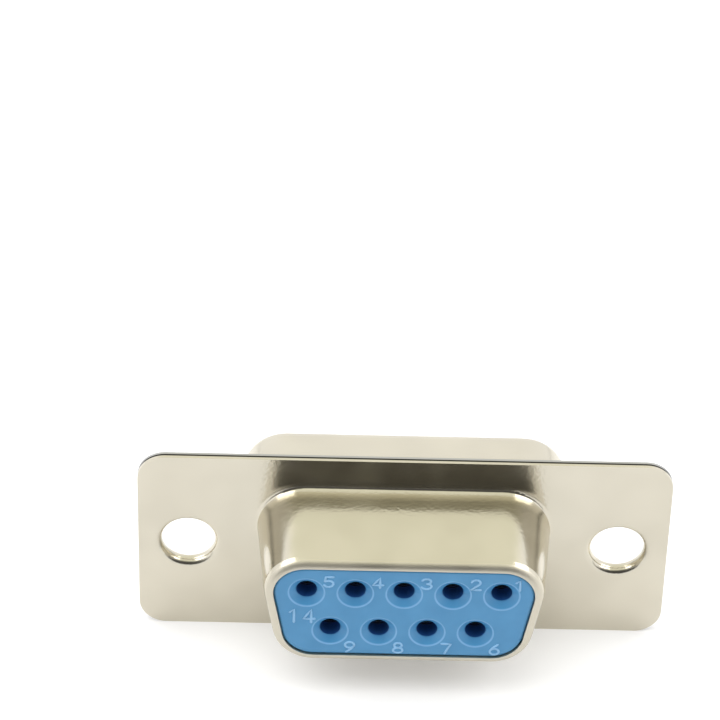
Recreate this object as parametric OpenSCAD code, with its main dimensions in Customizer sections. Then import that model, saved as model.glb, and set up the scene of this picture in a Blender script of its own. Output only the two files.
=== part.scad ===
// Nine-way D-shaped cable connector, socket side, with solder cups.
// Two drawn steel shells hold two moulded insulators and nine stamped contacts.
// Local axes: x along the flange, y across it (wide side of the D up), z towards the mating face.
// upright() then stands the flange on edge, so that the connector mates along -Y.

/* [Flange] */
// Length of the flange
flange_l = 30.8; // [29:0.1:34]
// Height of the flange
flange_h = 12.5; // [12.3:0.1:15]
// Corner radius of the flange
flange_r = 1.6; // [0.5:0.1:3]
// Distance between the two screw holes
hole_pitch = 25; // [24.5:0.1:26]
// Diameter of each screw hole, inside its rolled collar
hole_d = 3.1; // [2.7:0.05:3.3]
// Inside bend radius where the sheet turns into a screw hole
hole_bend_r = 0.15; // [0.1:0.01:0.2]
// Inside bend radius where a collar rolls over behind the rear shell
roll_bend_r = 0.05; // [0.02:0.01:0.05]
// How far a collar's rolled lip reaches past that bend
lip_reach = 0.5; // [0.3:0.05:0.6]

/* [Front shell] */
// Sheet thickness of the front shell
front_t = 0.25; // [0.2:0.05:0.45]
// Width of the D-shaped nose half way along it, outside, on its wide side
nose_w = 16.4; // [15.8:0.05:16.6]
// Height of the D-shaped nose half way along it, outside
nose_h = 8; // [7.6:0.05:8.2]
// Corner radius of the nose half way along it, outside
nose_r = 2.6; // [1.8:0.1:3]
// How far the nose stands in front of the flange
nose_len = 6; // [5:0.1:8]
// Draw radius between the flange and the nose
nose_draw_r = 0.2; // [0.1:0.05:0.5]
// Outer radius of the edge that turns in around the mouth
mouth_r = 0.55; // [0.5:0.05:0.8]

/* [Rear shell] */
// Sheet thickness of the rear shell
rear_t = 0.25; // [0.2:0.05:0.45]
// Width of the rear cup at its foot, outside, on its wide side
cup_w = 19.3; // [18.8:0.05:19.6]
// Height of the rear cup at its foot, outside
cup_h = 10.7; // [10.3:0.05:10.9]
// Corner radius of the rear cup at its foot, outside
cup_r = 2.8; // [2.4:0.1:3.4]
// Depth of the rear cup behind the front face of the flange
cup_depth = 4.5; // [3.8:0.1:6]
// Draw radius between the flange and the rear cup
cup_draw_r = 0.4; // [0.2:0.05:0.5]
// Outer radius of the rear cup's back edge
cup_edge_r = 0.9; // [0.6:0.05:1.1]
// Width of the flat lip inside that edge
lip_w = 0.2; // [0.1:0.05:0.4]

/* [Insulators] */
// Clearance between an insulator and the steel around it
fit = 0.05; // [0.02:0.01:0.1]
// Depth of the joint between the two insulators, behind the front face of the flange
seam_depth = 1.7; // [1.4:0.1:2.2]
// Depth of the rear insulator's back face, behind the front face of the flange
back_depth = 5.4; // [5:0.1:7]
// How far the front insulator's face lies behind the mouth
face_set = 0.08; // [0.02:0.02:0.2]
// Edge radius of the insulators' outer faces
edge_r = 0.15; // [0.05:0.05:0.25]
// Diameter of the hole where a pin enters
entry_d = 1.2; // [1.05:0.05:1.4]
// Diameter of the countersink around it
sink_d = 2.05; // [1.8:0.05:2.3]
// Depth of that countersink
sink_depth = 0.35; // [0.2:0.05:0.6]
// Clearance between a solder cup and the hole around it
tail_fit = 0.05; // [0.02:0.01:0.1]

/* [Contacts] */
// Contacts in the wide row
wide_row = 5; // [5:1:5]
// Distance between neighbours in a row
pitch = 2.77; // [2.7:0.01:2.85]
// Distance between the two rows
row_gap = 2.84; // [2.7:0.01:2.95]
// Bore of a socket
socket_bore = 1; // [0.9:0.02:1.06]
// Sheet thickness of a contact
contact_t = 0.25; // [0.15:0.01:0.28]
// Running clearance around a socket in its cavity
socket_fit = 0.08; // [0.04:0.01:0.12]
// Distance from the mouth to the front end of a socket
socket_setback = 1.5; // [1.2:0.1:2]
// Length of the slots that split a socket into two beams
slot_len = 3.6; // [2:0.1:4]
// Width of those slots
slot_w = 0.2; // [0.12:0.02:0.3]
// Diameter of the collar that holds a contact in place
collar_d = 2; // [1.9:0.02:2.1]
// Thickness of that collar
collar_t = 0.5; // [0.3:0.05:0.7]
// How much a contact's barrel is smaller in radius than its solder cup
barrel_inset = 0.12; // [0.11:0.01:0.15]
// Outside diameter of a solder cup
tail_d = 1.4; // [1.3:0.02:1.5]
// How far a solder cup's axis lies outwards of its hole's axis
tail_shift = 0.1; // [0:0.02:0.1]
// Angle that a solder cup's wall wraps round
tail_wrap = 215; // [180:5:300]
// Height of a solder cup above the insulator, on its axis
tail_len = 2.5; // [1.5:0.1:4]
// Slope of a solder cup's cut end
tail_cut = 32; // [0:1:45]
// How far a solder cup's root lies inside the insulator
tail_root = 0.4; // [0.3:0.05:0.6]

/* [Hidden] */
$fn = 64;
eps = 0.01;
steel = "#d8d5c4";
blue = "#5f9bcb";
tin = "#c9ced2";
d_slope = 10.247; // about 10 degrees, a slope whose sine and cosine are short numbers
lean = 5.417; // about 5 degrees, the draft of both drawn walls, short in the same way
flange_t = front_t + rear_t;
hole_r = hole_d / 2;
entry_r = hole_bend_r + front_t;
socket_r = socket_bore / 2 + contact_t;
tail_r = tail_d / 2;
tail_hole_r = tail_r + tail_shift + tail_fit;
contact_front = nose_len - socket_setback;
nose_flare = round(nose_len / 2 * tan(lean) * 1000) / 1000;
nose_wall = wall_length(nose_draw_r, mouth_r, nose_len);
mouth_x = nose_flare + edge_centre(nose_draw_r, mouth_r, nose_wall);
cup_wall = wall_length(cup_draw_r, cup_edge_r, cup_depth - flange_t);
cup_x = edge_centre(cup_draw_r, cup_edge_r, cup_wall);
seam_in = round((rear_t + fit + (seam_depth - flange_t) * tan(lean)) * 1000) / 1000;

// ---- frames ----

// Stands the connector up: z becomes -Y and y becomes Z
module upright() { rotate([90, 0, 0]) children(); }

// Turns a part that is drawn with its depth upwards so that it points to the rear, its wide side still up
module rearward() { rotate([0, 180, 0]) children(); }

// ---- the D outline ----

// Each D is 10 degrees or so narrower towards its lower side. Only its right half is drawn, then mirrored.
// The pieces follow each other from corner to corner, so that their end faces meet exactly.

// A straight length of the D, from y = 0 down to y = -length, with the profile as its section
module d_bar(length) {
    rotate([90, 0, 0]) linear_extrude(length) children();
}

// Right half of the D: top bar, wide corner, slanted side, narrow corner and lower bar
module d_half(w, h, r) {
    slant = round((h - 2 * r) / cos(d_slope) * 10000) / 10000;
    intersection() {
        translate([w / 2 - r, h / 2 - r]) rotate(-d_slope) {
            rotate(90 + d_slope) translate([0, w]) d_bar(w) children();
            rotate_extrude(angle = 90 + d_slope) children();
            d_bar(slant) children();
            translate([0, -slant]) rotate(d_slope - 90) {
                rotate_extrude(angle = 90 - d_slope) children();
                d_bar(w) children();
            }
        }
        translate([0, -h, -w]) cube([w, 2 * h, 2 * w]);
    }
}

// Carries a profile round the D. The profile's x is the distance out from the outline, its y the depth.
module d_sweep(w, h, r) {
    for (side = [0, 1]) mirror([side, 0, 0]) d_half(w, h, r) translate([r, 0]) children();
}

// Fills the middle of a D, out to a distance m past its corner centres
module d_core(w, h, r, m, height) {
    cy = h / 2 - r;
    top = w / 2 - r + m / cos(d_slope) + m * tan(d_slope);
    low = top - 2 * (cy + m) * tan(d_slope);
    linear_extrude(height) polygon([[top, cy + m], [-top, cy + m], [-low, -cy - m], [low, -cy - m]]);
}

// A D-shaped block whose outline is grown by off and whose upper edge is rounded by edge
module d_block(w, h, r, off, height, edge = 0) {
    d_core(w, h, r, (r + off - edge) / 2, height);
    d_sweep(w, h, r) translate([-r, 0]) {
        square([r + off - edge, height]);
        square([r + off, height - edge]);
        if (edge > 0) translate([r + off - edge, height - edge]) quarter_disc(edge);
    }
}

// ---- profile pieces ----

// Quarter of a disc between +x and +y
module quarter_disc(r) {
    intersection() {
        circle(r);
        square(r);
    }
}

// Quarter of a bent sheet: outer radius r, thickness t, between +x and +y
module quarter_bend(r, t) {
    difference() {
        quarter_disc(r);
        circle(r - t);
    }
}

// ---- drawn walls ----

// Both shells are drawn from flat sheet: a radius at the foot, a wall that leans in, and an edge turned in at the top.

// Length of the straight wall between the two radii, for a top that stands height above the sheet
function wall_length(foot_r, edge_r, height) =
    round((height - foot_r - edge_r + (foot_r + edge_r) * sin(lean)) / cos(lean) * 10000) / 10000;

// Where the centre of the turned-in edge lies, out from the outline at the foot and rounded
function edge_centre(foot_r, edge_r, wall) =
    round((foot_r - (foot_r + edge_r) * cos(lean) - wall * sin(lean)) * 10000) / 10000;

// Profile of a drawn wall about the centre of its foot radius, with a flat lip of the given length at its top
module drawn_wall(foot_r, wall, edge_r, t, lip = 0) {
    bend = foot_r + t;
    intersection() {
        rotate(180 + lean) quarter_bend(bend, t);
        translate([-2 * bend, -2 * bend]) square(2 * bend);
    }
    rotate(lean) {
        translate([-bend, 0]) square([t, wall]);
        translate([-foot_r - edge_r, wall]) rotate(-lean) {
            intersection() {
                rotate(lean) quarter_bend(edge_r, t);
                square(2 * edge_r);
            }
            if (lip > 0) translate([-lip, edge_r - t]) square([lip, t]);
        }
    }
}

// ---- shells ----

// Flange plate of thickness t with rounded corners
module flange_plate(t) {
    x = flange_l / 2 - flange_r;
    y = flange_h / 2 - flange_r;
    linear_extrude(t) {
        square([flange_l, 2 * y], center = true);
        square([2 * x, flange_h], center = true);
        for (sx = [-1, 1], sy = [-1, 1]) translate([sx * x, sy * y]) circle(flange_r);
    }
}

// Places its child at both screw holes
module at_screw_holes() {
    for (side = [-1, 1]) translate([side * hole_pitch / 2, 0, 0]) children();
}

// Profile of the nose
module nose_profile() {
    translate([nose_flare + nose_draw_r, nose_draw_r]) drawn_wall(nose_draw_r, nose_wall, mouth_r, front_t);
}

// Profile of a collar, drawn from the front sheet through both screw holes and rolled over behind them
module collar_profile() {
    roll = roll_bend_r + front_t;
    roll_z = -flange_t - fit + roll_bend_r;
    translate([hole_r + entry_r, -entry_r]) rotate(90) quarter_bend(entry_r, front_t);
    translate([hole_r, roll_z]) square([front_t, -entry_r - roll_z]);
    translate([hole_r + roll, roll_z]) rotate(180) quarter_bend(roll, front_t);
    translate([hole_r + roll, roll_z - roll]) square([lip_reach, front_t]);
}

module front_shell() {
    color(steel) upright() {
        difference() {
            rearward() flange_plate(front_t);
            translate([0, 0, -front_t - eps])
                d_block(nose_w, nose_h, nose_r, nose_flare + nose_draw_r, front_t + 2 * eps);
            at_screw_holes() translate([0, 0, -front_t - eps]) cylinder(r = hole_r + entry_r, h = front_t + 2 * eps);
        }
        d_sweep(nose_w, nose_h, nose_r) nose_profile();
        at_screw_holes() rotate_extrude() collar_profile();
    }
}

// Profile of the rear cup, its y measured backwards from the front face of the flange
module cup_profile() {
    translate([cup_draw_r, flange_t + cup_draw_r]) drawn_wall(cup_draw_r, cup_wall, cup_edge_r, rear_t, lip_w);
}

module rear_shell() {
    hole = hole_r + front_t + hole_bend_r;
    color(steel) upright() rearward() {
        difference() {
            translate([0, 0, front_t]) flange_plate(rear_t);
            translate([0, 0, front_t - eps])
                d_block(cup_w, cup_h, cup_r, cup_draw_r, rear_t + 2 * eps);
            at_screw_holes() translate([0, 0, front_t - eps]) cylinder(r = hole, h = rear_t + 2 * eps);
        }
        d_sweep(cup_w, cup_h, cup_r) cup_profile();
    }
}

// ---- insulators ----

// Places of the contacts: 1 to 5 in the wide row, then 6 to 9, each from +x to -x
function contact_place(i) =
    i < wide_row
        ? [pitch * ((wide_row - 1) / 2 - i), row_gap / 2]
        : [pitch * ((wide_row - 2) / 2 - (i - wide_row)), -row_gap / 2];

// Places its child at every contact
module at_contacts() {
    for (i = [0 : 2 * wide_row - 2]) translate(contact_place(i)) children();
}

// One cavity of the front insulator: countersink, pin entry, room for the socket and seat for the collar
module socket_cavity() {
    translate([0, 0, nose_len - face_set - sink_depth])
        cylinder(h = sink_depth, r1 = entry_d / 2, r2 = sink_d / 2);
    translate([0, 0, -seam_depth]) cylinder(h = seam_depth + nose_len, r = entry_d / 2);
    translate([0, 0, -seam_depth]) cylinder(h = seam_depth + contact_front + fit, r = socket_r + socket_fit);
    translate([0, 0, -seam_depth]) cylinder(h = collar_t + fit, r = collar_d / 2 + fit);
}

module front_insulator() {
    edge = mouth_r - front_t - fit;
    color(blue) upright() difference() {
        union() {
            translate([0, 0, -front_t])
                d_block(nose_w, nose_h, nose_r, mouth_x + edge, nose_len - fit, edge);
            d_block(nose_w, nose_h, nose_r, mouth_x - fit, nose_len - face_set, edge_r);
            translate([0, 0, -seam_depth])
                d_block(cup_w, cup_h, cup_r, -seam_in, seam_depth - front_t);
        }
        at_contacts() socket_cavity();
    }
}

module rear_insulator() {
    edge = cup_edge_r - rear_t - fit;
    color(blue) upright() rearward() difference() {
        translate([0, 0, seam_depth]) {
            d_block(cup_w, cup_h, cup_r, cup_x + edge, cup_depth - rear_t - seam_depth, edge);
            d_block(cup_w, cup_h, cup_r, cup_x - lip_w - fit, back_depth - seam_depth, edge_r);
        }
        at_contacts() translate([0, 0, seam_depth]) cylinder(h = back_depth - seam_depth, r = tail_hole_r);
    }
}

// ---- contacts ----

// Socket of a contact: a tube split into two spring beams
module socket() {
    difference() {
        translate([0, 0, -seam_depth]) cylinder(h = seam_depth + contact_front, r = socket_r);
        cylinder(h = contact_front, r = socket_bore / 2);
        translate([-socket_r, -slot_w / 2, contact_front - slot_len]) cube([2 * socket_r, slot_w, slot_len]);
    }
}

// Solder cup of a contact, drawn backwards, with its open side towards +y
module solder_cup() {
    height = tail_root + tail_len;
    reach = tail_r * tan(tail_cut);
    difference() {
        rotate(90 + (360 - tail_wrap) / 2) rotate_extrude(angle = tail_wrap)
            translate([tail_r - contact_t, 0]) square([contact_t, height + reach]);
        translate([0, 0, height]) rotate([-tail_cut, 0, 0])
            translate([-tail_d, -2 * tail_d, 0]) cube([2 * tail_d, 4 * tail_d, 2 * tail_d]);
    }
}

// Contact number i + 1. Its cup opens towards the nearer long side of the flange.
module contact(i) {
    side = i < wide_row ? 0 : 180;
    color(tin) upright() translate(contact_place(i)) {
        socket();
        translate([0, 0, -seam_depth]) cylinder(h = collar_t, r = collar_d / 2);
        rearward() translate([0, 0, seam_depth])
            cylinder(h = back_depth - tail_root - seam_depth + contact_t, r = tail_r - barrel_inset);
        rearward() rotate(side) translate([0, tail_shift, back_depth - tail_root]) solder_cup();
    }
}

front_shell();
rear_shell();
front_insulator();
rear_insulator();
contact(0);  // contact_1
contact(1);  // contact_2
contact(2);  // contact_3
contact(3);  // contact_4
contact(4);  // contact_5
contact(5);  // contact_6
contact(6);  // contact_7
contact(7);  // contact_8
contact(8);  // contact_9
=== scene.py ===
# %% [markdown]
# # A nine-way D-shaped connector, socket side
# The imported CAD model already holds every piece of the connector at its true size: two steel shells,
# two blue insulators and nine contacts. What is left for Blender is the finish of each piece, the raised
# contact numbers on the front insulator, and a small studio. Lengths are in metres, as in the frame.

# %% Load the frame
import bpy
import math
import numpy as np
from mathutils import Matrix, Vector


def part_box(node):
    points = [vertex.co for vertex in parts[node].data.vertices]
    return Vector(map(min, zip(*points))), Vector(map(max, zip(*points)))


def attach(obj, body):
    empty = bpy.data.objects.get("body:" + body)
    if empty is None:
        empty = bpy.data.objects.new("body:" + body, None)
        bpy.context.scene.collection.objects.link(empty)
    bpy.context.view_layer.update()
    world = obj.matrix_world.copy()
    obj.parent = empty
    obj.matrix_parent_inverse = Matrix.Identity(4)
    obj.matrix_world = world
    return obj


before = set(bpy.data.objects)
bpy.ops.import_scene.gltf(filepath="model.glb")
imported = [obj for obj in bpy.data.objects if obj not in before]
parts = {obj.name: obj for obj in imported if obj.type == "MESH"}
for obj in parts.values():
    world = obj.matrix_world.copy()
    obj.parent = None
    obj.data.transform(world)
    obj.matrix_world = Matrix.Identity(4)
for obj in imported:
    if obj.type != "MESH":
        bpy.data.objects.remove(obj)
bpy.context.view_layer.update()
MM = 0.001
print("pieces:", ", ".join(sorted(parts)))

# %% [markdown]
# ## Small helpers
# A Blender material is a graph of nodes. One helper adds a node, sets its values and connects its inputs,
# so that each finish below reads as a short list. Colours are written as sRGB hex, the way a paint or a
# plastic is usually quoted, and one function turns them into the linear values that the renderer uses.

# %% Colours
def linear(hex_colour):
    """sRGB hex to linear RGBA: each channel is divided by 12.92 near black, else raised to the power 2.4."""
    srgb = np.array([int(hex_colour[i:i + 2], 16) for i in (1, 3, 5)]) / 255.0
    rgb = np.where(srgb <= 0.04045, srgb / 12.92, ((srgb + 0.055) / 1.055) ** 2.4)
    return (*rgb.tolist(), 1.0)


print("a mid grey in linear values:", round(linear("#808080")[0], 3))

# %% Nodes
def add(tree, kind, settings=None, inputs=None, links=None):
    """Adds one node: settings are its own properties, inputs are socket values, links are sockets to join."""
    made = tree.nodes.new(kind)
    for name, value in (settings or {}).items():
        setattr(made, name, value)
    for name, value in (inputs or {}).items():
        made.inputs[name].default_value = value
    for name, source in (links or {}).items():
        tree.links.new(source, made.inputs[name])
    return made


def feed(tree, socket, value):
    """Joins the socket to another one, or sets it, when value is a number or a colour."""
    if isinstance(value, bpy.types.NodeSocket):
        tree.links.new(value, socket)
    else:
        socket.default_value = value


def new_material(name):
    """An empty material with its output node, and the tree to build it in."""
    material = bpy.data.materials.new(name)
    material.use_nodes = True
    tree = material.node_tree
    tree.nodes.clear()
    return material, tree, add(tree, "ShaderNodeOutputMaterial")


print("helpers ready: add, feed, new_material")

# %% Blends
def ramp(tree, source, low, high):
    """A colour ramp over source. low and high are its two ends, each a position and a linear colour."""
    made = add(tree, "ShaderNodeValToRGB", links={"Fac": source})
    for element, (position, colour) in zip(made.color_ramp.elements, (low, high)):
        element.position, element.color = position, colour
    return made.outputs["Color"]


MIX_SLOTS = {"FLOAT": (2, 3, 0), "RGBA": (6, 7, 2)}  # where the node keeps A, B and its result


def mix(tree, kind, amount, first, second):
    """A blend of two values or sockets: all first where amount is 0, and all second where it is 1."""
    made = add(tree, "ShaderNodeMix", {"data_type": kind})
    slot_a, slot_b, result = MIX_SLOTS[kind]
    for slot, value in ((0, amount), (slot_a, first), (slot_b, second)):
        feed(tree, made.inputs[slot], value)
    return made.outputs[result]


print("blends:", ", ".join(MIX_SLOTS))

# %% [markdown]
# ## Plated steel
# Both shells are drawn from thin steel strip that is plated with nickel. Nickel reflects about 0.66 of the
# red, 0.61 of the green and 0.53 of the blue light, which is why it looks warmer and darker than silver, and
# why a reflection of a reflection is so much darker: on the flange above the nose it is down to a third.
# The surface isn't a mirror. Rolling leaves fine lines along the strip, plating leaves a pebbled skin a
# quarter of a millimetre wide, and both blur what is reflected. The two sheets lie back to back, so the cut
# edge of the flange shows a dark joint between them, and the cut through the rear sheet is duller. An image
# could be wrapped around the shells instead, but it would stretch over the drawn corners, so every
# pattern here is worked out from the point's own place on the part.

# %% Small sums on sockets
def calc(tree, operation, *values):
    """One math node. Each value is a number or a socket, in order."""
    made = add(tree, "ShaderNodeMath", {"operation": operation})
    for slot, value in enumerate(values):
        feed(tree, made.inputs[slot], value)
    return made.outputs[0]


def fade(tree, value, low, high, at_low=0.0, at_high=1.0):
    """A smooth step from at_low to at_high while value goes from low to high."""
    made = add(tree, "ShaderNodeMapRange", {"interpolation_type": "SMOOTHSTEP"},
               {"From Min": low, "From Max": high, "To Min": at_low, "To Max": at_high}, {"Value": value})
    return made.outputs["Result"]


def noise(tree, place, size, detail=2.0):
    """Noise whose features are about size metres wide; size may be three numbers, for a stretched pattern."""
    sizes = size if isinstance(size, tuple) else (size, size, size)
    at = add(tree, "ShaderNodeMapping", inputs={"Scale": tuple(1 / v for v in sizes)},
             links={"Vector": place})
    return add(tree, "ShaderNodeTexNoise", inputs={"Scale": 1.0, "Detail": detail},
               links={"Vector": at.outputs["Vector"]}).outputs["Fac"]


def split(tree, vector):
    """The X, Y and Z of a vector socket."""
    return add(tree, "ShaderNodeSeparateXYZ", links={"Vector": vector}).outputs


def size_of(tree, a, b):
    """The length of a flat vector: the square root of a times a plus b times b."""
    return calc(tree, "SQRT", calc(tree, "ADD", calc(tree, "MULTIPLY", a, a), calc(tree, "MULTIPLY", b, b)))


print("sums ready: calc, fade, noise, split, size_of")

# %% The cut edge of the flange
EDGE_X, EDGE_Z = 15.3 * MM, 4.3 * MM  # past one of these, sideways faces belong to the flange's cut edge
JOINT_Y = 0.27 * MM  # the line between the sheets, behind the front face of the flange
FLANGE_BACK_Y = 0.502 * MM


def cut_edge(tree, axes):
    """Two masks on the cut edge of the flange: the dark joint between the sheets, and the rear sheet's cut."""
    outward = calc(tree, "MAXIMUM", calc(tree, "SUBTRACT", calc(tree, "ABSOLUTE", axes["Z"]), EDGE_Z),
                   calc(tree, "SUBTRACT", calc(tree, "ABSOLUTE", axes["X"]), EDGE_X))
    facing = split(tree, add(tree, "ShaderNodeTexCoord").outputs["Normal"])["Y"]
    on_edge = calc(tree, "MULTIPLY", calc(tree, "GREATER_THAN", outward, 0.0),
                   calc(tree, "LESS_THAN", calc(tree, "ABSOLUTE", facing), 0.3))
    on_edge = calc(tree, "MULTIPLY", on_edge, calc(tree, "LESS_THAN", axes["Y"], FLANGE_BACK_Y))
    from_joint = calc(tree, "ABSOLUTE", calc(tree, "SUBTRACT", axes["Y"], JOINT_Y))
    joint = calc(tree, "MULTIPLY", fade(tree, from_joint, 0.05 * MM, 0.09 * MM, 1.0, 0.0), on_edge)
    rear = calc(tree, "MULTIPLY", fade(tree, axes["Y"], 0.3 * MM, 0.32 * MM), on_edge)
    return joint, rear


print("joint between the sheets at y =", JOINT_Y, "m")

# %% The foot of the drawn wall
FOOT_REACH = 1.1 * MM  # how far in front of the flange the wall starts to swell


def drawn_foot(tree, axes):
    """The wall swells towards its foot: over the last 1.1 mm it rises by the cube of the distance."""
    into = calc(tree, "MAXIMUM", calc(tree, "ADD", calc(tree, "MINIMUM", axes["Y"], 0.0), FOOT_REACH), 0.0)
    rise = calc(tree, "POWER", calc(tree, "DIVIDE", into, MM), 3.0)
    swell = calc(tree, "MULTIPLY", rise, 0.16 * MM)
    bump = add(tree, "ShaderNodeBump", inputs={"Strength": 1.0, "Distance": 1.0}, links={"Height": swell})
    return bump.outputs["Normal"]


print("the wall swells over its last", FOOT_REACH, "m")

# %% Plated steel
def nickel_plated_steel():
    """Rolled lines, a pebbled skin and slow clouds of gloss, on a metal in the colour of nickel."""
    material, tree, out = new_material("nickel_plated_rolled_steel")
    place = add(tree, "ShaderNodeTexCoord").outputs["Object"]
    axes = split(tree, place)
    lines = noise(tree, place, (3 * MM, 0.1 * MM, 0.1 * MM), 3.0)
    pebbles = noise(tree, place, 0.22 * MM)
    clouds = noise(tree, place, 3 * MM, 1.0)
    joint, rear = cut_edge(tree, axes)
    plate = ramp(tree, clouds, (0.35, linear("#D0CABA")), (0.65, linear("#D6D0C0")))
    cut = mix(tree, "RGBA", rear, plate, linear("#B5B5B4"))
    colour = mix(tree, "RGBA", joint, cut, linear("#3A3833"))
    rough = calc(tree, "ADD", fade(tree, clouds, 0.3, 0.7, 0.15, 0.22), calc(tree, "MULTIPLY", rear, 0.2))
    rubbed = fade(tree, axes["Y"], -5.9 * MM, -5.65 * MM, 0.26, 0.0)  # the mouth, where plugs slide in
    rough = calc(tree, "ADD", rough, rubbed)
    fine = add(tree, "ShaderNodeBump", inputs={"Strength": 0.3, "Distance": 0.004 * MM},
               links={"Height": lines, "Normal": drawn_foot(tree, axes)})
    bump = add(tree, "ShaderNodeBump", inputs={"Strength": 1.0, "Distance": 0.0065 * MM},
               links={"Height": pebbles, "Normal": fine.outputs["Normal"]})
    shader = add(tree, "ShaderNodeBsdfPrincipled", inputs={"Metallic": 1.0},
                 links={"Base Color": colour, "Roughness": rough, "Normal": bump.outputs["Normal"]})
    tree.links.new(shader.outputs["BSDF"], out.inputs["Surface"])
    return material


STEEL = nickel_plated_steel()
print("made", STEEL.name)

# %% [markdown]
# ## Moulded plastic
# The insulators are injection moulded from blue PBT, a polyester with a faint surface sheen. A mould leaves
# a smooth skin with slight flow unevenness, so the gloss is even and the bump is very low. Each pin entry gets
# a thin, paler ring, a painted highlight where the edge of its countersink catches the light, and a darker
# inside, which is painted shade. The rings could be nine drawn circles. They are one sum instead: the distance
# to the nearest contact, which repeats along the row.

# %% The contact pattern
PITCH, ROW = 2.77 * MM, 2.84 * MM
RING_R = 1.02 * MM  # where each countersink meets the face
ENTRY_R = 0.9 * MM  # inside this a point belongs to a pin entry
FACE_FRONT_Y = -5.7 * MM  # in front of this only the face itself is left


def contact_pattern(tree, axes):
    """Two masks: the painted highlight ring at the edge of each pin entry, and the painted shade in the depth
    of the entries, where it is darker.
    """
    lower = calc(tree, "LESS_THAN", axes["Z"], 0.0)
    # x is folded into one pitch, shifted by half a pitch in the lower row.
    shift = calc(tree, "MULTIPLY_ADD", lower, 0.5, 0.5)
    turns = calc(tree, "ADD", calc(tree, "DIVIDE", axes["X"], PITCH), shift)
    folded = calc(tree, "SUBTRACT", calc(tree, "FLOORED_MODULO", turns, 1.0), 0.5)
    across = calc(tree, "MULTIPLY", folded, PITCH)
    up = calc(tree, "SUBTRACT", calc(tree, "ABSOLUTE", axes["Z"]), ROW / 2)
    apart = size_of(tree, across, up)
    # The ring, a painted highlight where the countersink edge catches the light, is about 0.1 mm wide. Past
    # the last contact of a row there is none.
    last = calc(tree, "MULTIPLY_ADD", lower, -PITCH / 2, 2.5 * PITCH)
    near = calc(tree, "MULTIPLY", calc(tree, "LESS_THAN", calc(tree, "ABSOLUTE", axes["X"]), last),
                calc(tree, "LESS_THAN", axes["Y"], FACE_FRONT_Y))
    from_ring = calc(tree, "ABSOLUTE", calc(tree, "SUBTRACT", apart, RING_R))
    ring = calc(tree, "MULTIPLY", fade(tree, from_ring, 0.02 * MM, 0.07 * MM, 0.75, 0.0), near)
    # Painted shade: inside an entry the light has gone from wall to wall, and each bounce off the plastic
    # deepens the blue.
    inside = calc(tree, "LESS_THAN", apart, ENTRY_R)
    entry_shade = calc(tree, "MULTIPLY", inside, fade(tree, axes["Y"], -5.62 * MM, -5.5 * MM))
    entry_shade = calc(tree, "MULTIPLY", entry_shade, calc(tree, "LESS_THAN", axes["Y"], 0.0))
    return ring, entry_shade


print("contacts", PITCH, "m apart, rows", ROW, "m apart")

# %% Blue plastic
def moulded_pbt(name, low, high):
    """low and high are the two shades that the flow of the melt leaves side by side."""
    material, tree, out = new_material(name)
    place = add(tree, "ShaderNodeTexCoord").outputs["Object"]
    flow = noise(tree, place, 1.6 * MM)
    grain = noise(tree, place, 0.07 * MM)
    ring, entry_shade = contact_pattern(tree, split(tree, place))
    body = ramp(tree, flow, (0.3, linear(low)), (0.7, linear(high)))
    # Painted shade: the pin entries are darker inside.
    body = mix(tree, "RGBA", entry_shade, body, linear("#2A5C9C"))
    # Painted highlight: the pale ring where each countersink edge catches the light.
    colour = mix(tree, "RGBA", ring, body, linear("#86BCE8"))
    bump = add(tree, "ShaderNodeBump", inputs={"Strength": 0.3, "Distance": 0.004 * MM},
               links={"Height": grain})
    shader = add(tree, "ShaderNodeBsdfPrincipled", inputs={"IOR": 1.55},
                 links={"Base Color": colour, "Roughness": fade(tree, grain, 0.2, 0.8, 0.30, 0.42),
                        "Normal": bump.outputs["Normal"]})
    tree.links.new(shader.outputs["BSDF"], out.inputs["Surface"])
    return material


PBT = moulded_pbt("moulded_blue_pbt", "#4790C2", "#4F98CA")
# The numbers get a paler copy of the blue, a painted highlight where the raised strokes catch the light.
PBT_NUMBERS_HIGHLIGHT = moulded_pbt("blue_pbt_painted_highlight", "#8CC0E8", "#92C6EE")
print("made", PBT.name, "and", PBT_NUMBERS_HIGHLIGHT.name)

# %% [markdown]
# ## Tinned contacts
# The contacts are rolled from copper-alloy strip and tinned. Tin is a cool, silvery white with a soft,
# slightly uneven gloss, because it was melted on or plated over stamped strip. Gloss and height could each
# have a noise of their own. One noise drives both, so the raised spots are also the duller ones.

# %% Tinned copper alloy
def tinned_alloy():
    """A pale metal whose gloss and height both follow one noise, half a millimetre wide."""
    material, tree, out = new_material("tinned_copper_alloy")
    place = add(tree, "ShaderNodeTexCoord").outputs["Object"]
    flow = add(tree, "ShaderNodeTexNoise", inputs={"Scale": 1 / (0.5 * MM), "Detail": 3.0},
               links={"Vector": place})
    rough = add(tree, "ShaderNodeMapRange", inputs={"To Min": 0.14, "To Max": 0.30},
                links={"Value": flow.outputs["Fac"]})
    bump = add(tree, "ShaderNodeBump", inputs={"Strength": 0.3, "Distance": 0.01 * MM},
               links={"Height": flow.outputs["Fac"]})
    shader = add(tree, "ShaderNodeBsdfPrincipled",
                 inputs={"Base Color": linear("#DAD9D4"), "Metallic": 1.0},
                 links={"Roughness": rough.outputs["Result"], "Normal": bump.outputs["Normal"]})
    tree.links.new(shader.outputs["BSDF"], out.inputs["Surface"])
    return material


TIN = tinned_alloy()
print("made", TIN.name)

# %% [markdown]
# ## Dress the pieces
# The pieces come from the CAD model with plain colours. Their meshes stay as they are, so a finish is all
# that changes, and the name of each piece says which one it gets.

# %% Finish each piece
for name, piece in parts.items():
    finish = STEEL if "shell" in name else PBT if "insulator" in name else TIN
    piece.data.materials.clear()
    piece.data.materials.append(finish)
print("dressed", len(parts), "pieces")

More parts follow.
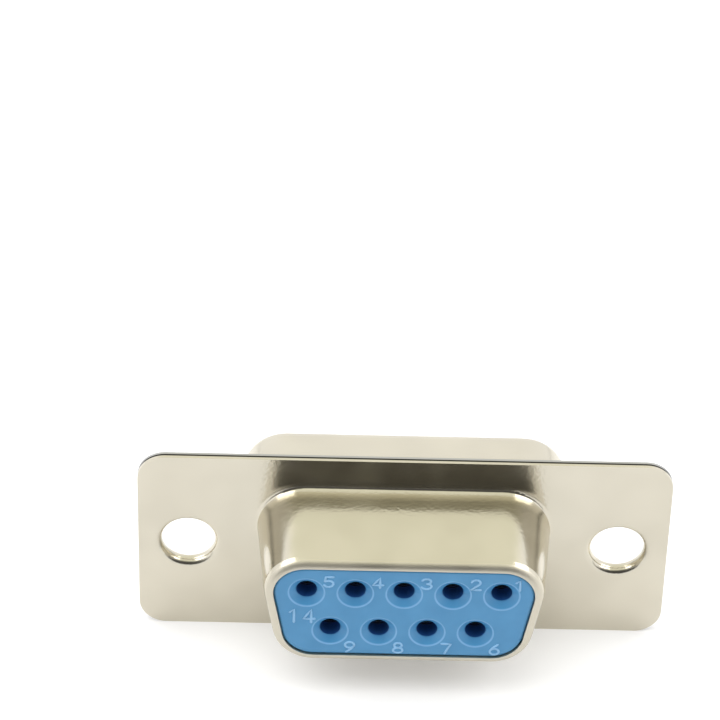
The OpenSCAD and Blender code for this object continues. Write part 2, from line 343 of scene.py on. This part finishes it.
# %% [markdown]
# ## Contact numbers
# The mould leaves a small raised number beside every contact, and one of its own. They could be text
# objects, but a font's outline has flat sides and sharp corners. A raised stroke is a shallow rounded bead,
# so each digit is a pen path with a flat oval section carried along it. Working it out as a grid, rings
# along the path by points around the oval, gives a closed bead with clean ends.

# %% A bead along a path
TIP_SIZE = 0.35  # the last ring at each end, as a share of the full size


def bead(path, half_width, height, around=8):
    """A closed bead on the XZ plane. Each ring is an oval: half_width times the cosine of its angle across
    the stroke, height times the sine along -Y. The last ring at each end lies half a width further out, and
    is about a third of the size."""
    path = np.asarray(path, float)
    step = np.gradient(path, axis=0)
    step /= np.linalg.norm(step, axis=1)[:, None]
    across = np.stack([-step[:, 1], step[:, 0]], 1)
    path = np.concatenate([path[:1] - step[:1] * half_width, path, path[-1:] + step[-1:] * half_width])
    across = np.concatenate([across[:1], across, across[-1:]])
    size = np.ones(len(path))
    size[[0, -1]] = TIP_SIZE
    angle = np.linspace(0, 2 * np.pi, around, endpoint=False)
    flat = path[:, None, :] + across[:, None, :] * (half_width * size[:, None] * np.cos(angle))[..., None]
    rise = -height * size[:, None] * np.sin(angle)
    rise = np.broadcast_to(rise, flat[..., 0].shape)
    points = np.stack([flat[..., 0], rise, flat[..., 1]], -1).reshape(-1, 3)
    ring, spoke = np.meshgrid(np.arange(len(path) - 1), np.arange(around), indexing="ij")
    a = ring * around + spoke
    b = ring * around + (spoke + 1) % around
    quads = np.stack([a, b, b + around, a + around], -1).reshape(-1, 4)
    caps = [list(range(around))[::-1], list(range(len(points) - around, len(points)))]
    return points, quads.tolist() + caps


print("a straight bead has", len(bead([(0, 0), (1, 0)], 0.1, 0.1)[1]), "faces")

# %% Pen paths of the digits
CELL_WIDTH = 0.6  # the paths are drawn in a cell this wide and 1 high


def arc(cx, cy, rx, ry, start, end, count=9):
    """Points on an oval arc from start to end degrees, anticlockwise when end is the larger. Each is the
    middle plus the radius times the cosine across, and plus the radius times the sine up."""
    t = np.radians(np.linspace(start, end, count))
    return list(zip(cx + rx * np.cos(t), cy + ry * np.sin(t)))


DIGITS = {
    "1": [[(0.12, 0.78), (0.34, 1.0), (0.34, 0.5), (0.34, 0.0)]],
    "2": [arc(0.3, 0.72, 0.26, 0.28, 170, -40) + [(0.02, 0.0), (0.3, 0.0), (0.58, 0.0)]],
    "3": [arc(0.27, 0.75, 0.26, 0.25, 160, -80), arc(0.27, 0.26, 0.3, 0.27, 80, -160)],
    "4": [[(0.42, 0.0), (0.42, 0.5), (0.42, 1.0), (0.2, 0.62), (0.0, 0.28), (0.3, 0.28), (0.6, 0.28)]],
    "5": [[(0.54, 1.0), (0.3, 1.0), (0.1, 1.0), (0.06, 0.52)] + arc(0.27, 0.32, 0.29, 0.32, 130, -150)],
    "6": [[(0.48, 1.0), (0.22, 0.72)] + arc(0.3, 0.3, 0.27, 0.3, 160, 520, 17)],
    "7": [[(0.02, 1.0), (0.3, 1.0), (0.58, 1.0), (0.38, 0.5), (0.22, 0.0)]],
    "8": [arc(0.3, 0.75, 0.23, 0.25, -90, 270, 15), arc(0.3, 0.25, 0.28, 0.26, 90, 450, 17)],
    "9": [[(0.12, 0.0), (0.38, 0.28)] + arc(0.3, 0.7, 0.27, 0.3, -20, -380, 17)],
}
print("digits:", " ".join(DIGITS))

# %% Write a text in beads
FACE_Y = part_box("front_insulator")[0].y
RAISE = 0.055 * MM


def raised_text(name, texts, width, high, step, stroke):
    """One mesh of beads for several short texts. texts are (text, x, z) with x, z the middle of the text;
    each digit is width by high, and step is the distance from one digit to the next."""
    points, faces = [], []
    for text, x, z in texts:
        for k, digit in enumerate(text):
            left = x + (k - (len(text) - 1) / 2) * step - width / 2
            for pen in DIGITS[digit]:
                p, f = bead(np.array(pen) * (width / CELL_WIDTH, high), stroke / 2, RAISE)
                p += (left, FACE_Y, z - high / 2)
                faces += [[i + len(points) for i in face] for face in f]
                points += p.tolist()
    mesh = bpy.data.meshes.new(name)
    mesh.from_pydata(points, [], faces)
    mesh.update()
    mesh.polygons.foreach_set("use_smooth", [True] * len(faces))
    piece = bpy.data.objects.new(name, mesh)
    bpy.context.scene.collection.objects.link(piece)
    piece.data.materials.append(PBT_NUMBERS_HIGHLIGHT)
    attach(piece, "root")
    return piece


print("the numbers stand", RAISE, "m proud of y =", round(FACE_Y, 5))

# %% Write the numbers
UPPER_X, UPPER_Z = 1.27 * MM, 2.27 * MM  # beside each contact of the upper row, and its height
LOWER_X, LOWER_Z = 1.14 * MM, -2.62 * MM
LAST_X = 6.5 * MM  # the first number is moved in to stay on the face

labels = [(str(i + 1), min((2 - i) * PITCH + UPPER_X, LAST_X), UPPER_Z) for i in range(5)]
labels += [(str(i + 6), (1.5 - i) * PITCH + LOWER_X, LOWER_Z) for i in range(4)]
numbers = raised_text("contact_numbers", labels,
                      width=0.58 * MM, high=0.74 * MM, step=0.8 * MM, stroke=0.14 * MM)
mark = raised_text("mould_mark", [("14", -5.82 * MM, -0.32 * MM)],
                   width=0.62 * MM, high=0.96 * MM, step=0.9 * MM, stroke=0.15 * MM)
for piece in (numbers, mark):
    print(piece.name, len(piece.data.polygons), "faces")

# %% [markdown]
# ## The studio
# A bright metal part shows its surroundings, so the studio matters as much as the finish. It is a white
# sweep under even light, warmer overhead, with a dim room in front. The nose reflects that dim room into the
# flange, which draws the dark band above it. Two softboxes, high on the left and on the right, put a white
# spark on each rounded corner. An image of a real studio could light the part too, but a few soft shapes
# do the same and can be moved one by one.

# %% Floor
FLOOR_Z = -6.25 * MM
FLOOR_SIZE = 4
bpy.ops.mesh.primitive_plane_add(size=FLOOR_SIZE, location=(0, 0, FLOOR_Z))
floor = bpy.context.object
floor.name = "floor"
material, tree, out = new_material("white_paper_floor")
seen = add(tree, "ShaderNodeLightPath").outputs
# In reflections the paper ends a few centimetres in front of the connector, and the dim room begins.
ahead = split(tree, add(tree, "ShaderNodeTexCoord").outputs["Object"])["Y"]
gone = calc(tree, "MULTIPLY", fade(tree, ahead, -80 * MM, -28 * MM, 1.0, 0.0), seen["Is Glossy Ray"])
# The mirror image of the floor is lifted most beside the flange, where the connector keeps the light away.
near = fade(tree, ahead, -8 * MM, -2 * MM, 0.05, 0.19)
mirror_glow = calc(tree, "MULTIPLY", calc(tree, "SUBTRACT", seen["Is Glossy Ray"], gone), near)
glow = calc(tree, "ADD", calc(tree, "MULTIPLY", seen["Is Camera Ray"], 0.26), mirror_glow)
white = mix(tree, "RGBA", gone, (0.8, 0.8, 0.8, 1), (0.08, 0.08, 0.08, 1))
paper = add(tree, "ShaderNodeBsdfPrincipled", inputs={"Roughness": 0.9, "Emission Color": (1, 1, 1, 1)},
            links={"Base Color": white, "Emission Strength": glow})
tree.links.new(paper.outputs["BSDF"], out.inputs["Surface"])
floor.data.materials.append(material)
print("floor at z =", FLOOR_Z, "m")

# %% The dim room
world = bpy.data.worlds.new("studio")
bpy.context.scene.world = world
world.use_nodes = True
tree = world.node_tree
tree.nodes.clear()
out = add(tree, "ShaderNodeOutputWorld")
axes = split(tree, add(tree, "ShaderNodeTexCoord").outputs["Generated"])
# A wide, low oval ahead (-Y), about 50 degrees to each side and as far up, with soft edges.
ROOM_WIDE, ROOM_TALL, ROOM_MIDDLE = 0.85, 0.8, 0.15
aside = calc(tree, "DIVIDE", axes["X"], ROOM_WIDE)
above = calc(tree, "DIVIDE", calc(tree, "SUBTRACT", axes["Z"], ROOM_MIDDLE), ROOM_TALL)
edge = fade(tree, size_of(tree, aside, above), 0.6, 1.0, 1.0, 0.0)
dim = calc(tree, "MULTIPLY", edge, calc(tree, "LESS_THAN", axes["Y"], 0.0))
print("dim room:", len(tree.nodes), "nodes")

# %% World
high = fade(tree, axes["Z"], 0.45, 0.72)
seen = add(tree, "ShaderNodeLightPath").outputs
# What metal mirrors is brighter than the light that falls on the part, and a little less so overhead.
mirrored = calc(tree, "MULTIPLY", calc(tree, "MULTIPLY_ADD", high, -0.17, 1.2),
                calc(tree, "MULTIPLY_ADD", dim, -0.92, 1.0))
scattered = calc(tree, "MULTIPLY", calc(tree, "MULTIPLY_ADD", dim, -0.6, 1.0), 0.66)
bounced = calc(tree, "MAXIMUM", seen["Is Glossy Ray"], seen["Is Transmission Ray"])
level = mix(tree, "FLOAT", bounced, scattered, mirrored)
level = mix(tree, "FLOAT", seen["Is Camera Ray"], level, 1.0)
warmth = calc(tree, "MULTIPLY", high, bounced)
tint = mix(tree, "RGBA", warmth, (1, 1, 1, 1), (1.0, 0.99, 0.84, 1))
sky = add(tree, "ShaderNodeBackground", links={"Color": tint, "Strength": level})
tree.links.new(sky.outputs["Background"], out.inputs["Surface"])
print("world:", len(tree.nodes), "nodes")

# %% Lamps
def softbox(name, place, width, height, power, mirrored=True):
    """A rectangular lamp at place, in mm, that faces the origin. mirrored says whether metal shows it."""
    lamp = bpy.data.lights.new(name, "AREA")
    lamp.shape, lamp.size, lamp.size_y, lamp.energy = "RECTANGLE", width * MM, height * MM, power
    holder = bpy.data.objects.new(name, lamp)
    bpy.context.scene.collection.objects.link(holder)
    holder.location = Vector(place) * MM
    holder.rotation_euler = (-holder.location).to_track_quat("-Z", "Y").to_euler()
    holder.visible_glossy = mirrored
    print(name, power, "W")


softbox("overhead", (-40, -20, 320), 260, 260, 0.42, mirrored=False)
softbox("left_softbox", (-175, 5, 178), 270, 150, 0.28)
softbox("right_softbox", (175, 5, 178), 270, 150, 0.28)

# %% [markdown]
# ## The camera
# It looks down at the connector from 20 cm away, through a long lens, so the parallel edges of the flange
# hardly draw together. It could be aimed with a constraint. Its three axes are written out instead, as unit
# vectors, so the view is the same whatever else moves: right, up, and back, away from the object.

# %% Camera
RIGHT = Vector((0.99971819, 0.00534965, 0.02312823))
UP = Vector((-0.02159462, 0.60958129, 0.79242938))
BACK = Vector((-0.00985931, -0.79270551, 0.60952503))
EYE = Vector((-4.75134928, -155.43118031, 133.09335584)) * MM
VIEW_ANGLE = 11.715920770482864  # degrees, from one side of the view to the other
eye = bpy.data.cameras.new("camera")
camera = bpy.data.objects.new("camera", eye)
bpy.context.scene.collection.objects.link(camera)
bpy.context.scene.camera = camera
turn = Matrix((RIGHT, UP, BACK)).transposed().to_4x4()
camera.matrix_world = Matrix.Translation(EYE) @ turn
eye.angle = math.radians(VIEW_ANGLE)
eye.clip_start = 1 * MM
bpy.context.scene.view_settings.view_transform = "Standard"
print("camera angle", round(math.degrees(eye.angle), 2), "degrees")
